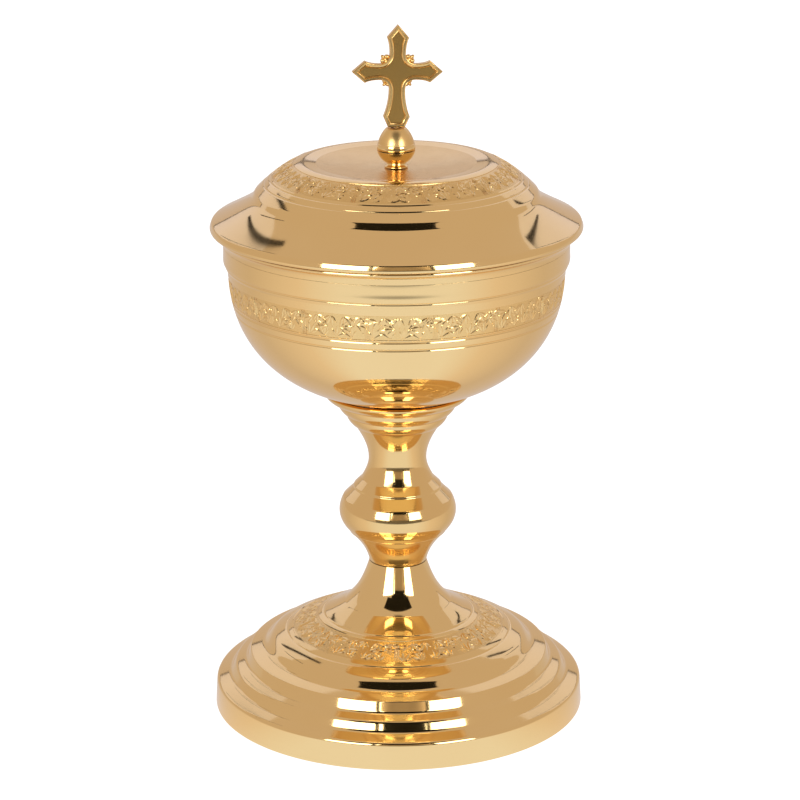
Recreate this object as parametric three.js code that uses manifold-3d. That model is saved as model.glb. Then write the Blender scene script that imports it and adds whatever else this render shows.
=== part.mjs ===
// Ciborium: a lidded standing cup of gilt brass. Millimetres, +Z up, the foot stands on z = 0.
import * as THREE from 'three';
import { mergeVertices } from 'three/addons/utils/BufferGeometryUtils.js';
import Module from 'manifold-3d';

const wasm = await Module();
wasm.setup();

// Faces round a large turned piece and round a small one.
const turnSteps = 36;
const smallTurnSteps = 20;
// Space left where two pieces touch.
const seatGap = 0.3;

// Foot, spun from sheet: skirt, three treads, engraved cone and throat.
const footRadius = 64.6;
const footWall = 0.9;
const hemWidth = 3;
const skirtHeight = 9.3;
const skirtDraft = 0.6;
const skirtCorner = 1;
const lowerTreadWidth = 4.4;
const lowerTreadRise = 1.7;
const lowerRiserHeight = 3.4;
const lowerRiserLean = 1.3;
const middleTreadWidth = 4.1;
const middleTreadRise = 1.5;
const middleRiserHeight = 3.8;
const middleRiserLean = 1.5;
const riserBulge = 0.5;
const upperTreadWidth = 5;
const upperTreadRise = 1.3;
const shoulderHeight = 3.6;
const shoulderLean = 3.2;
const coneWidth = 18.3;
const coneHeight = 8.4;
const throatHeight = 18.7;

// Stem with its knop and the collar that carries the bowl, turned from bar.
const stemRadius = 10;
const knopRadius = 20.3;
const knopRise = 18.3;
const neckRise = 19;
const collarFlareRadius = 14.9;
const collarFlareRise = 12;
const collarMiddleRadius = 17.9;
const collarMiddleRise = 4.2;
const collarUpperRadius = 20.7;
const collarUpperRise = 4;
const collarScallop = 0.35;
const collarRimRadius = 25.2;
const collarRimRise = 4.1;
const collarRimEdge = 0.6;

// Bowl, spun from sheet, with the band soldered round its mouth.
const bowlRadius = 57.35;
const bowlWall = 1;
const bowlDepth = 47.3;
const bowlFlatness = 0.51;
const bowlFullness = 0.72;
const bowlSideHeight = 8.6;
const lipFlare = 3.7;
const lipStep = 1;
const lipHeight = 4;
const bandWall = 0.95;
const bandHeight = 7.9;
const bandTaper = 3.6;
const bandEdge = 0.3;

// Screwed joint that draws bowl, stem and foot together.
const rodRadius = 3;
const rodChamfer = 0.6;
const rodBelowNut = 6;
const bossRadius = 7.5;
const bossHeight = 9;
const bossWeb = 1.2;
const pocketClearance = 0.5;
const rodWasherWall = 5;
const rodWasherThickness = 1.2;
const rodSpringWall = 2.4;
const rodSpringThickness = 1.6;
const rodNutWall = 2.4;
const rodNutHeight = 5;
const springSlit = 0.35;

// Lid, spun from sheet, with the ring that centres it in the bowl.
const lidOverhang = 2.05;
const lidWall = 0.9;
const hemTuck = 0.9;
const hemHeight = 1.7;
const crownWidth = 1;
const crownHeight = 1.4;
const flangeWidth = 14;
const flangeHeight = 9;
const coveLean = 0.7;
const coveHeight = 1.3;
const domeWidth = 15.3;
const domeHeight = 9.9;
const dishFloorRadius = 7;
const dishDepth = 2.5;
const ringClearance = 0.4;
const ringWall = 0.9;
const ringDepth = 6;

// Knob on top of the lid, drawn down by a stud, a washer and a nut.
const studRadius = 1.5;
const studChamfer = 0.3;
const studBelowNut = 2.5;
const knobRadius = 6.5;
const knobFootRadius = 4;
const knobWaistRadius = 3.1;
const knobWaistHeight = 1.2;
const knobConeHeight = 4.5;
const knobCapHeight = 7.3;
const knobCapTopRadius = 3.5;
const finialWasherWall = 3;
const finialWasherThickness = 1;
const finialSpringWall = 1.2;
const finialSpringThickness = 0.9;
const finialNutWall = 1.3;
const finialNutHeight = 2.4;

// Cross, cast: plain field inside a raised border, leafy curls in the four crooks.
const crossThickness = 2.6;
const crossBevel = 0.35;
const crossBorder = 1.4;
const crossFieldDepth = 0.45;
const crossUpperLength = 15.7;
const crossSideLength = 15.2;
const crossLegLength = 18.7;
const crossNeckHalf = 2.65;
const crossCrook = 6;
const crossShoulderHalf = 3.6;
const crossTipLength = 4.2;
const crossLegShoulderHalf = 4.4;
const crossLegTaper = 3.5;
const crossLegEndHalf = 2.8;
const curlReach = 5.8;
const curlLobe = 1;
const curlStem = 1.7;
const curlThickness = 1.8;

// Heights, from the floor up.
const lowerTreadTop = skirtHeight + lowerTreadRise;
const lowerRiserTop = lowerTreadTop + lowerRiserHeight;
const middleTreadTop = lowerRiserTop + middleTreadRise;
const middleRiserTop = middleTreadTop + middleRiserHeight;
const upperTreadTop = middleRiserTop + upperTreadRise;
const coneFoot = upperTreadTop + shoulderHeight;
const coneTop = coneFoot + coneHeight;
const footTop = coneTop + throatHeight;
const stemFoot = footTop + seatGap;
const knopMiddle = stemFoot + knopRise;
const neckTop = knopMiddle + neckRise;
const collarFlareTop = neckTop + collarFlareRise;
const collarMiddleTop = collarFlareTop + collarMiddleRise;
const collarUpperTop = collarMiddleTop + collarUpperRise;
const collarRimFoot = collarUpperTop + collarRimRise;
const bowlSeat = collarRimFoot + collarRimEdge + seatGap;

const lidRadius = bowlRadius + lipFlare + lidOverhang;
const rodBore = rodRadius + seatGap;
const studBore = studRadius + seatGap;

const turnedGold = { color: 0xd9a95c, roughness: 0.16 };
const spunGold = { color: 0xdcb06a, roughness: 0.18 };
const castGold = { color: 0xc9993f, roughness: 0.28 };
const plainBrass = { color: 0xc2a35a, roughness: 0.4 };
const zincSteel = { color: 0xb9bbbd, roughness: 0.35 };

const ciborium = new THREE.Group();
ciborium.name = 'ciborium';

function addPiece(name, geometry, finish) {
  const piece = new THREE.Mesh(geometry, new THREE.MeshStandardMaterial({ ...finish, metalness: 1 }));
  piece.name = name;
  ciborium.add(piece);
}

function at(radius, height) {
  return new THREE.Vector2(radius, height);
}

// Points of a smooth sweep after its start.
function sweep(start, startPull, endPull, end, count) {
  return new THREE.CubicBezierCurve(start, startPull, endPull, end).getPoints(count).slice(1);
}

function arch(start, pull, end, count) {
  return new THREE.QuadraticBezierCurve(start, pull, end).getPoints(count).slice(1);
}

function distanceTo(outline, point) {
  let least = Infinity;
  for (let index = 1; index < outline.length; index += 1) {
    const start = outline[index - 1];
    const span = outline[index].clone().sub(start);
    const along = THREE.MathUtils.clamp(point.clone().sub(start).dot(span) / span.lengthSq(), 0, 1);
    least = Math.min(least, span.multiplyScalar(along).add(start).distanceTo(point));
  }
  return least;
}

function leftOf(start, end) {
  const span = end.clone().sub(start).normalize();
  return at(-span.y, span.x);
}

// Points that run beside an outline on its left, mitred at its corners.
function shifted(outline, distance) {
  const last = outline.length - 1;
  return outline.map((point, index) => {
    const before = leftOf(outline[Math.max(index - 1, 0)], outline[Math.max(index, 1)]);
    const after = leftOf(outline[Math.min(index, last - 1)], outline[Math.min(index + 1, last)]);
    const middle = before.clone().add(after).normalize();
    return middle.multiplyScalar(distance / Math.max(middle.dot(before), 0.5)).add(point);
  });
}

// The same line without the points that a tight hollow would fold over.
function beside(outline, distance) {
  const reach = 0.97 * Math.abs(distance);
  return shifted(outline, distance).filter((point) => distanceTo(outline, point) > reach);
}

function insideLoop(loop, distance) {
  const closed = [...loop, loop[0]];
  const line = shifted([loop.at(-1), ...closed], distance).slice(1, -1);
  return line.filter((point) => distanceTo(closed, point) > 0.97 * distance);
}

// Closed section of a spun wall: the outline and the line beside it.
function spunSection(outline, wall) {
  return [...outline, ...beside(outline, wall).reverse(), outline[0]];
}

function tubeSection(innerRadius, outerRadius, low, high) {
  const corner = at(innerRadius, low);
  return [corner, at(outerRadius, low), at(outerRadius, high), at(innerRadius, high), corner];
}

function rodSection(radius, chamfer, low, high) {
  return [
    at(0, low),
    at(radius - chamfer, low),
    at(radius, low + chamfer),
    at(radius, high - chamfer),
    at(radius - chamfer, high),
    at(0, high),
  ];
}

function turned(profile, steps) {
  return new THREE.LatheGeometry(profile, steps).rotateX(Math.PI / 2);
}

// Height of an outline where it first reaches a radius.
function heightAt(outline, radius) {
  const index = Math.max(outline.findIndex((point) => point.x >= radius), 1);
  const before = outline[index - 1];
  const span = outline[index].clone().sub(before);
  return before.y + (span.y * (radius - before.x)) / span.x;
}

// Flat piece lying at a height: its outline in plan, pulled up by a thickness.
function plate(shape, low, thickness) {
  const settings = { depth: thickness, bevelEnabled: false, curveSegments: smallTurnSteps / 2 };
  return new THREE.ExtrudeGeometry(shape, settings).translate(0, 0, low);
}

function hexNut(bore, wall, low, height) {
  const corner = (bore + wall) / Math.cos(Math.PI / 6);
  const corners = [0, 1, 2, 3, 4, 5].map((index) => (
    at(corner * Math.cos((index * Math.PI) / 3), corner * Math.sin((index * Math.PI) / 3))
  ));
  const shape = new THREE.Shape(corners);
  shape.holes.push(new THREE.Path().absarc(0, 0, bore, 0, 2 * Math.PI, true));
  return plate(shape, low, height);
}

function splitWasher(bore, wall, low, thickness) {
  const shape = new THREE.Shape();
  shape.absarc(0, 0, bore + wall, springSlit, 2 * Math.PI - springSlit, false);
  shape.absarc(0, 0, bore, 2 * Math.PI - springSlit, springSlit, true);
  return plate(shape, low, thickness);
}

function toSolid(geometry) {
  geometry.deleteAttribute('normal');
  geometry.deleteAttribute('uv');
  const welded = mergeVertices(geometry, 1e-4);
  return new wasm.Manifold(new wasm.Mesh({
    numProp: 3,
    vertProperties: new Float32Array(welded.getAttribute('position').array),
    triVerts: new Uint32Array(welded.getIndex().array),
  }));
}

function toGeometry(solid) {
  const mesh = solid.getMesh();
  const geometry = new THREE.BufferGeometry();
  geometry.setAttribute('position', new THREE.BufferAttribute(new Float32Array(mesh.vertProperties), 3));
  geometry.setIndex(new THREE.BufferAttribute(new Uint32Array(mesh.triVerts), 1));
  geometry.computeVertexNormals();
  return geometry;
}

// Upright slab in the X-Z plane, centred on Y, from an outline drawn in X and Z.
function slab(outline, thickness, bevel) {
  const settings = {
    depth: thickness - 2 * bevel,
    bevelEnabled: bevel > 0,
    bevelThickness: bevel,
    bevelSize: bevel,
    bevelOffset: -bevel,
    bevelSegments: 1,
  };
  const shape = new THREE.ExtrudeGeometry(new THREE.Shape(outline), settings);
  return toSolid(shape.translate(0, 0, bevel - thickness / 2).rotateX(Math.PI / 2));
}

function footOutline() {
  const skirtTopRadius = footRadius - skirtDraft;
  const lowerRiserRadius = skirtTopRadius - skirtCorner - lowerTreadWidth;
  const middleTreadRadius = lowerRiserRadius - lowerRiserLean;
  const middleRiserRadius = middleTreadRadius - middleTreadWidth;
  const upperTreadRadius = middleRiserRadius - middleRiserLean;
  const shoulderRadius = upperTreadRadius - upperTreadWidth;
  const coneFootRadius = shoulderRadius - shoulderLean;
  const coneTopRadius = coneFootRadius - coneWidth;
  const lowerTread = at(lowerRiserRadius, lowerTreadTop);
  const middleTread = at(middleRiserRadius, middleTreadTop);
  const shoulder = at(shoulderRadius, upperTreadTop);
  const cone = at(coneTopRadius, coneTop);
  const throatWidth = coneTopRadius - stemRadius;
  return [
    at(footRadius - hemWidth, 0),
    at(footRadius, 0),
    at(skirtTopRadius, skirtHeight - skirtCorner),
    at(skirtTopRadius - skirtCorner, skirtHeight),
    lowerTread,
    ...arch(
      lowerTread,
      at(lowerRiserRadius - lowerRiserLean / 2 + riserBulge, lowerTreadTop + lowerRiserHeight / 2),
      at(middleTreadRadius, lowerRiserTop),
      3,
    ),
    middleTread,
    ...arch(
      middleTread,
      at(middleRiserRadius - middleRiserLean / 2 + riserBulge, middleTreadTop + middleRiserHeight / 2),
      at(upperTreadRadius, middleRiserTop),
      3,
    ),
    shoulder,
    ...arch(
      shoulder,
      at(shoulderRadius - shoulderLean * 0.3, coneFoot - shoulderHeight * 0.35),
      at(coneFootRadius, coneFoot),
      2,
    ),
    cone,
    ...sweep(
      cone,
      at(coneTopRadius - throatWidth * 0.72, coneTop + throatHeight * 0.3),
      at(stemRadius + throatWidth * 0.22, footTop - throatHeight * 0.52),
      at(stemRadius, footTop),
      7,
    ),
    at(rodBore, footTop),
  ];
}

// Bowl with its underside at height 0, from the axis to the foot of the side wall.
const bowlCurve = [
  at(0, 0),
  ...sweep(
    at(0, 0),
    at(bowlRadius * bowlFlatness, 0),
    at(bowlRadius, bowlDepth * (1 - bowlFullness)),
    at(bowlRadius, bowlDepth),
    12,
  ),
];
const bowlBottom = bowlSeat - heightAt(bowlCurve, collarRimRadius);
const bowlUnderside = bowlCurve.map((point) => at(point.x, point.y + bowlBottom));
const lipFoot = bowlBottom + bowlDepth + bowlSideHeight;
const lipTop = lipFoot + lipHeight;
const bossTop = bowlBottom - seatGap;
const bossFoot = bossTop - bossHeight;
const rodTop = bossTop - bossWeb - seatGap;

function stemSection() {
  const pocketRadius = bossRadius + pocketClearance;
  const foot = at(stemRadius, stemFoot);
  const knop = at(knopRadius, knopMiddle);
  const neck = at(stemRadius, neckTop);
  const flare = at(collarFlareRadius, collarFlareTop);
  const middle = at(collarMiddleRadius, collarMiddleTop);
  const upper = at(collarUpperRadius, collarUpperTop);
  const rim = at(collarRimRadius, collarRimFoot);
  const knopWidth = knopRadius - stemRadius;
  const flareWidth = collarFlareRadius - stemRadius;
  const dish = beside(bowlUnderside, -seatGap);
  const dishInner = dish.filter((point) => point.x > pocketRadius + 1 && point.x < collarRimRadius - 1);
  return [
    at(rodBore, stemFoot),
    foot,
    ...sweep(
      foot,
      at(stemRadius + knopWidth * 0.21, stemFoot + knopRise * 0.52),
      at(knopRadius, knopMiddle - knopRise * 0.37),
      knop,
      8,
    ),
    ...sweep(
      knop,
      at(knopRadius, knopMiddle + neckRise * 0.42),
      at(stemRadius, neckTop - neckRise * 0.45),
      neck,
      8,
    ),
    ...sweep(
      neck,
      at(stemRadius, neckTop + collarFlareRise * 0.39),
      at(collarFlareRadius - flareWidth * 0.43, collarFlareTop - collarFlareRise * 0.23),
      flare,
      4,
    ),
    ...arch(flare, scallop(flare, middle), middle, 2),
    ...arch(middle, scallop(middle, upper), upper, 2),
    ...arch(upper, scallop(upper, rim), rim, 2),
    at(collarRimRadius, heightAt(dish, collarRimRadius)),
    ...dishInner.reverse(),
    at(pocketRadius, heightAt(dish, pocketRadius)),
    at(pocketRadius, bossFoot - pocketClearance),
    at(rodBore, bossFoot - pocketClearance),
    at(rodBore, stemFoot),
  ];
}

// Pull point that hollows a tier of the collar.
function scallop(start, end) {
  const middle = start.clone().add(end).multiplyScalar(0.5);
  return middle.add(leftOf(start, end).multiplyScalar(collarScallop));
}

function bowlSection() {
  const upperBead = bowlRadius + lipFlare;
  const lowerBead = upperBead - lipStep;
  const lipStart = at(bowlRadius, lipFoot);
  const outline = [
    ...bowlUnderside,
    lipStart,
    ...arch(
      lipStart,
      at(bowlRadius + 0.4, lipFoot + lipHeight * 0.3),
      at(lowerBead, lipFoot + lipHeight * 0.4),
      3,
    ),
    at(lowerBead, lipFoot + lipHeight * 0.6),
    at(upperBead, lipFoot + lipHeight * 0.75),
    at(upperBead, lipTop),
  ];
  const inner = beside(outline, bowlWall).filter((point) => point.x > 1).reverse();
  return [...outline, ...inner, at(0, bowlBottom + bowlWall)];
}

const lidFoot = lipTop + seatGap;
const crownFoot = lidFoot + hemHeight;
const flangeFoot = crownFoot + crownHeight;
const flangeTop = flangeFoot + flangeHeight;
const domeFoot = flangeTop + coveHeight;
const domeTop = domeFoot + domeHeight;
const dishFloor = domeTop - dishDepth;

function lidOutline() {
  const flangeRadius = lidRadius - crownWidth;
  const coveRadius = flangeRadius - flangeWidth;
  const domeRadius = coveRadius - coveLean;
  const dishRadius = domeRadius - domeWidth;
  const hem = at(lidRadius - hemTuck, lidFoot);
  const crown = at(lidRadius, crownFoot);
  const flange = at(flangeRadius, flangeFoot);
  const cove = at(coveRadius, flangeTop);
  const dome = at(domeRadius, domeFoot);
  const dishEdge = at(dishRadius, domeTop);
  return [
    hem,
    ...arch(hem, at(lidRadius, lidFoot + hemHeight * 0.3), crown, 2),
    ...arch(crown, at(lidRadius, flangeFoot - crownHeight * 0.3), flange, 2),
    ...sweep(
      flange,
      at(flangeRadius - flangeWidth * 0.44, flangeFoot + flangeHeight * 0.33),
      at(coveRadius + flangeWidth * 0.1, flangeTop - flangeHeight * 0.28),
      cove,
      6,
    ),
    dome,
    ...sweep(
      dome,
      at(domeRadius - domeWidth * 0.19, domeFoot + domeHeight * 0.43),
      at(dishRadius + domeWidth * 0.39, domeTop - domeHeight * 0.2),
      dishEdge,
      6,
    ),
    ...arch(dishEdge, at((dishRadius + dishFloorRadius) / 2, dishFloor), at(dishFloorRadius, dishFloor), 4),
    at(studBore, dishFloor),
  ];
}

function ringSection() {
  const tubeRadius = bowlRadius - bowlWall - ringClearance;
  const flangeRadius = lidRadius - hemTuck - lidWall - seatGap;
  return [
    at(tubeRadius - ringWall, lidFoot - ringDepth),
    at(tubeRadius, lidFoot - ringDepth),
    at(tubeRadius, lidFoot),
    at(flangeRadius, lidFoot),
    at(flangeRadius, lidFoot + ringWall),
    at(tubeRadius - ringWall, lidFoot + ringWall),
    at(tubeRadius - ringWall, lidFoot - ringDepth),
  ];
}

const knobFoot = dishFloor + seatGap;
const knobWaist = knobFoot + knobWaistHeight;
const knobBaseTop = knobWaist + knobConeHeight;
const knobCapFoot = knobBaseTop + seatGap;
const knobCapTop = knobCapFoot + knobCapHeight;
const crossFoot = knobCapTop + seatGap;
const crossCentre = crossFoot + crossLegLength;

function knobBaseSection() {
  const waist = at(knobWaistRadius, knobWaist);
  return [
    at(studBore, knobFoot),
    at(knobFootRadius, knobFoot),
    at(knobFootRadius, knobFoot + knobWaistHeight * 0.3),
    waist,
    ...arch(
      waist,
      at(knobWaistRadius + 0.6, knobWaist + knobConeHeight * 0.3),
      at(knobRadius, knobBaseTop),
      4,
    ),
    at(studBore, knobBaseTop),
    at(studBore, knobFoot),
  ];
}

function knobCapSection() {
  const foot = at(knobRadius, knobCapFoot);
  return [
    at(studBore, knobCapFoot),
    foot,
    ...sweep(
      foot,
      at(knobRadius + 0.2, knobCapFoot + knobCapHeight * 0.3),
      at(knobCapTopRadius + 0.9, knobCapTop - knobCapHeight * 0.25),
      at(knobCapTopRadius, knobCapTop),
      6,
    ),
    at(studBore, knobCapTop),
    at(studBore, knobCapFoot),
  ];
}

// Right half of the cross from the foot of its leg to the tip of its upper arm, about its centre.
function crossHalf() {
  const legNeck = at(crossNeckHalf, -crossCrook);
  const lowerNeck = at(crossCrook, -crossNeckHalf);
  const upperNeck = at(crossCrook, crossNeckHalf);
  const topNeck = at(crossNeckHalf, crossCrook);
  const crook = crossNeckHalf * 1.15;
  const shoulder = crossSideLength - crossTipLength;
  const topShoulder = crossUpperLength - crossTipLength;
  const legShoulder = at(crossLegShoulderHalf, crossLegTaper - crossLegLength);
  const flareReach = (crossCrook + shoulder) / 2;
  return [
    at(crossLegEndHalf, -crossLegLength),
    legShoulder,
    ...arch(legShoulder, at(crossNeckHalf + 0.1, -crossCrook * 1.7), legNeck, 3),
    ...arch(legNeck, at(crook, -crook), lowerNeck, 3),
    ...arch(lowerNeck, at(flareReach, -crossNeckHalf), at(shoulder, -crossShoulderHalf), 3),
    at(crossSideLength, 0),
    at(shoulder, crossShoulderHalf),
    ...arch(at(shoulder, crossShoulderHalf), at(flareReach, crossNeckHalf), upperNeck, 3),
    ...arch(upperNeck, at(crook, crook), topNeck, 3),
    ...arch(topNeck, at(crossNeckHalf, flareReach), at(crossShoulderHalf, topShoulder), 3),
  ];
}

// Leaf that fills one crook: a stem disc and three lobes.
function curl(side, level) {
  const lobe = curlReach - curlLobe;
  const discs = [
    [lobe * 0.66, lobe * 0.66, curlStem],
    [lobe * 0.74, lobe * 1.02, curlLobe],
    [lobe, lobe, curlLobe],
    [lobe * 1.02, lobe * 0.74, curlLobe],
  ];
  return discs.map(([across, up, radius]) => (
    toSolid(new THREE.CylinderGeometry(radius, radius, curlThickness, 12)
      .translate(across * side, 0, up * level))
  ));
}

function crossSolid() {
  const right = crossHalf();
  const left = right.map((point) => at(-point.x, point.y)).reverse();
  const loop = [...right, at(0, crossUpperLength), ...left];
  const field = insideLoop(loop, crossBorder);
  let solid = slab(loop, crossThickness, crossBevel);
  [[1, 1], [-1, 1], [1, -1], [-1, -1]].forEach(([side, level]) => {
    curl(side, level).forEach((disc) => {
      solid = solid.add(disc);
    });
  });
  const facing = crossThickness / 2;
  const cut = slab(field, crossFieldDepth * 2, 0);
  return solid
    .subtract(cut.translate([0, facing, 0]))
    .subtract(cut.translate([0, -facing, 0]))
    .translate([0, 0, crossCentre]);
}

const rodWasherTop = footTop - footWall - seatGap;
const rodWasherFoot = rodWasherTop - rodWasherThickness;
const rodSpringFoot = rodWasherFoot - seatGap - rodSpringThickness;
const rodNutFoot = rodSpringFoot - seatGap - rodNutHeight;
const rodFoot = rodNutFoot - rodBelowNut;

const finialWasherTop = dishFloor - lidWall - seatGap;
const finialWasherFoot = finialWasherTop - finialWasherThickness;
const finialSpringFoot = finialWasherFoot - seatGap - finialSpringThickness;
const finialNutFoot = finialSpringFoot - seatGap - finialNutHeight;
const studFoot = finialNutFoot - studBelowNut;

const washer = tubeSection(rodBore, rodBore + rodWasherWall, rodWasherFoot, rodWasherTop);
const rod = rodSection(rodRadius, rodChamfer, rodFoot, rodTop);
const boss = [
  at(0, bossTop - bossWeb),
  at(rodBore, bossTop - bossWeb),
  at(rodBore, bossFoot),
  at(bossRadius, bossFoot),
  at(bossRadius, bossTop),
  at(0, bossTop),
];
const bandInner = bowlRadius + seatGap;
const bandTop = lipFoot - seatGap;
const bandFoot = bandTop - bandHeight;
const band = [
  at(bandInner, bandFoot),
  at(bandInner + bandEdge, bandFoot),
  at(bandInner + bandWall, bandFoot + bandTaper),
  at(bandInner + bandWall, bandTop),
  at(bandInner, bandTop),
  at(bandInner, bandFoot),
];
const finialWasher = tubeSection(studBore, studBore + finialWasherWall, finialWasherFoot, finialWasherTop);
const stud = rodSection(studRadius, studChamfer, studFoot, knobCapTop);

addPiece('foot_shell', turned(spunSection(footOutline(), footWall), turnSteps), spunGold);
addPiece('stem_washer', turned(washer, smallTurnSteps), zincSteel);
addPiece('spring_washer', splitWasher(rodBore, rodSpringWall, rodSpringFoot, rodSpringThickness), zincSteel);
addPiece('tie_rod_nut', hexNut(rodBore, rodNutWall, rodNutFoot, rodNutHeight), zincSteel);
addPiece('tie_rod', turned(rod, smallTurnSteps), zincSteel);
addPiece('knop_stem', turned(stemSection(), turnSteps), turnedGold);
addPiece('cup_boss', turned(boss, smallTurnSteps), plainBrass);
addPiece('cup_bowl', turned(bowlSection(), turnSteps), spunGold);
addPiece('cup_rim_band', turned(band, turnSteps), spunGold);
addPiece('lid_shell', turned(spunSection(lidOutline(), lidWall), turnSteps), spunGold);
addPiece('lid_locating_ring', turned(ringSection(), turnSteps), spunGold);
addPiece('knob_base', turned(knobBaseSection(), smallTurnSteps), turnedGold);
addPiece('knob_cap', turned(knobCapSection(), smallTurnSteps), turnedGold);
addPiece('cross', toGeometry(crossSolid()), castGold);
addPiece('cross_stud', turned(stud, smallTurnSteps), plainBrass);
addPiece('finial_washer', turned(finialWasher, smallTurnSteps), plainBrass);
addPiece(
  'finial_lock_washer',
  splitWasher(studBore, finialSpringWall, finialSpringFoot, finialSpringThickness),
  plainBrass,
);
addPiece('finial_nut', hexNut(studBore, finialNutWall, finialNutFoot, finialNutHeight), plainBrass);

export default ciborium;
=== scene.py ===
# Ciborium of gilt brass: a standing cup with a lid that lifts off.
import math
import bpy
from mathutils import Matrix, Vector


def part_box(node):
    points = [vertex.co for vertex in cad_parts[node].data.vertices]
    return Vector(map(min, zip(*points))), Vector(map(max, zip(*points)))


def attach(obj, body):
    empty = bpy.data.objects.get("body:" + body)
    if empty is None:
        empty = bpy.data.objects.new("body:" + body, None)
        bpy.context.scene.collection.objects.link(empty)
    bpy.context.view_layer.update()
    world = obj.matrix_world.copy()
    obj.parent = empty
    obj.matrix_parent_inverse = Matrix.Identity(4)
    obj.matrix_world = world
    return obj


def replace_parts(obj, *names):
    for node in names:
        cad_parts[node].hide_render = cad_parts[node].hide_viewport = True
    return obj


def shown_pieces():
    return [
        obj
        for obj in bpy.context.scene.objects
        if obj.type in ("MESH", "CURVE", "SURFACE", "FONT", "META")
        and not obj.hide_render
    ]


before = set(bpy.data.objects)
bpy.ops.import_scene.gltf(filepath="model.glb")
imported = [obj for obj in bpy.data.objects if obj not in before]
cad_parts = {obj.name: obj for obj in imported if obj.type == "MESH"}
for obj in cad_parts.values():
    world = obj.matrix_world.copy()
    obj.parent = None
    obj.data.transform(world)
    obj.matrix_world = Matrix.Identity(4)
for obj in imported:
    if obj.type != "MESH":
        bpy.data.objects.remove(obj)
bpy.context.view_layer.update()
mm = 0.001
turn = 2 * math.pi
weld = 0.002 * mm       # points nearer than this become one
hair = 1e-4             # places nearer than this count as the same
faceOn = 0.9            # how squarely a flat face looks along an axis when it is picked for it
print("CAD frame loaded")


def clearSelection():
    if bpy.context.mode != "OBJECT":
        bpy.ops.object.mode_set(mode="OBJECT")
    bpy.ops.object.select_all(action="DESELECT")


def pick(active, *others):
    # selects these and nothing else
    clearSelection()
    for item in (active, *others):
        item.select_set(True)
    bpy.context.view_layer.objects.active = active


def placeIntoMesh():
    bpy.ops.object.transform_apply(location=True, rotation=True, scale=True)


def joinParts(first, *others):
    # one mesh of them all, each left where it lies
    pick(first, *others)
    placeIntoMesh()
    bpy.ops.object.join()
    return bpy.context.object


def finishPiece(name, body, smoothAngle=35):
    # edges sharper than the angle stay crisp
    piece = bpy.context.object
    pick(piece)
    placeIntoMesh()
    bpy.ops.object.shade_smooth_by_angle(angle=math.radians(smoothAngle))
    piece.name = name
    piece.data.name = name
    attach(piece, body)
    return piece


# Outlines are half sections: (radius, height) in mm, from the floor or the axis outwards and up.

def curvePoints(start, pull, secondPull, end, steps):
    points = []
    for i in range(1, steps + 1):
        t = i / steps
        s = 1 - t
        points.append(tuple(s ** 3 * start[k] + 3 * s * s * t * pull[k]
                            + 3 * s * t * t * secondPull[k] + t ** 3 * end[k] for k in (0, 1)))
    return points


def runAlong(points):
    run = [0.0]
    for a, b in zip(points, points[1:]):
        run.append(run[-1] + math.hypot(b[0] - a[0], b[1] - a[1]))
    return run


def pointAt(points, run, distance):
    distance = min(max(distance, 0.0), run[-1])
    for i in range(1, len(run)):
        if distance <= run[i] or i == len(run) - 1:
            share = (distance - run[i - 1]) / max(run[i] - run[i - 1], 1e-9)
            a, b = points[i - 1], points[i]
            return tuple(a[k] + (b[k] - a[k]) * share for k in (0, 1))


def outwardAt(points, run, distance, reach=0.2):
    # direction that leaves the metal, square to the outline over this reach to each side
    a, b = pointAt(points, run, distance - reach), pointAt(points, run, distance + reach)
    length = math.hypot(b[0] - a[0], b[1] - a[1])
    return ((b[1] - a[1]) / length, -(b[0] - a[0]) / length)


def lifted(points, level):
    return [(r, z + level) for r, z in points]


def replaceStretch(points, first, last, fresh):
    run = runAlong(points)
    before = [p for p, s in zip(points, run) if s < first - hair]
    after = [p for p, s in zip(points, run) if s > last + hair]
    return before + fresh + after


def tracedOutline(parts):
    # parts: (radius, height[, corner reach]) or ("curve", pull, pull, end, steps[, corner reach])
    points, corners = [], []
    for part in parts:
        if part[0] == "curve":
            points += curvePoints(points[-1], *part[1:5])
            reach = part[5] if len(part) > 5 else 0
        else:
            points.append((part[0], part[1]))
            reach = part[2] if len(part) > 2 else 0
        if reach:
            corners.append((points[-1], reach))
    for corner, reach in corners:
        run = runAlong(points)
        middle = run[points.index(corner)]
        start, end = pointAt(points, run, middle - reach), pointAt(points, run, middle + reach)
        pulls = [tuple(q[k] + (corner[k] - q[k]) * 2 / 3 for k in (0, 1)) for q in (start, end)]
        rounded = [start] + curvePoints(start, *pulls, end, 8)
        points = replaceStretch(points, middle - reach, middle + reach, rounded)
    return points


def distanceAtHeight(points, run, height):
    # the way up
    for i in range(1, len(points)):
        low, high = points[i - 1][1], points[i][1]
        if low <= height <= high and high > low:
            return run[i - 1] + (run[i] - run[i - 1]) * (height - low) / (high - low)


def distanceAtRadius(points, run, radius):
    # the way in, towards the axis
    for i in range(1, len(points)):
        far, near = points[i - 1][0], points[i][0]
        if near <= radius <= far and far > near:
            return run[i - 1] + (run[i] - run[i - 1]) * (far - radius) / (far - near)


def withGrooves(points, places, width, depth, count=12):
    # each groove is a shallow rolled channel; a negative depth makes a ridge
    steps = [i / count - 0.5 for i in range(count + 1)]
    for place in places:
        run = runAlong(points)
        outward = outwardAt(points, run, place)
        fresh = []
        for step in steps:
            p = pointAt(points, run, place + step * width)
            sink = depth * (0.5 + 0.5 * math.cos(step * turn))
            fresh.append((p[0] - outward[0] * sink, p[1] - outward[1] * sink))
        points = replaceStretch(points, place - width / 2, place + width / 2, fresh)
    return points


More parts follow.
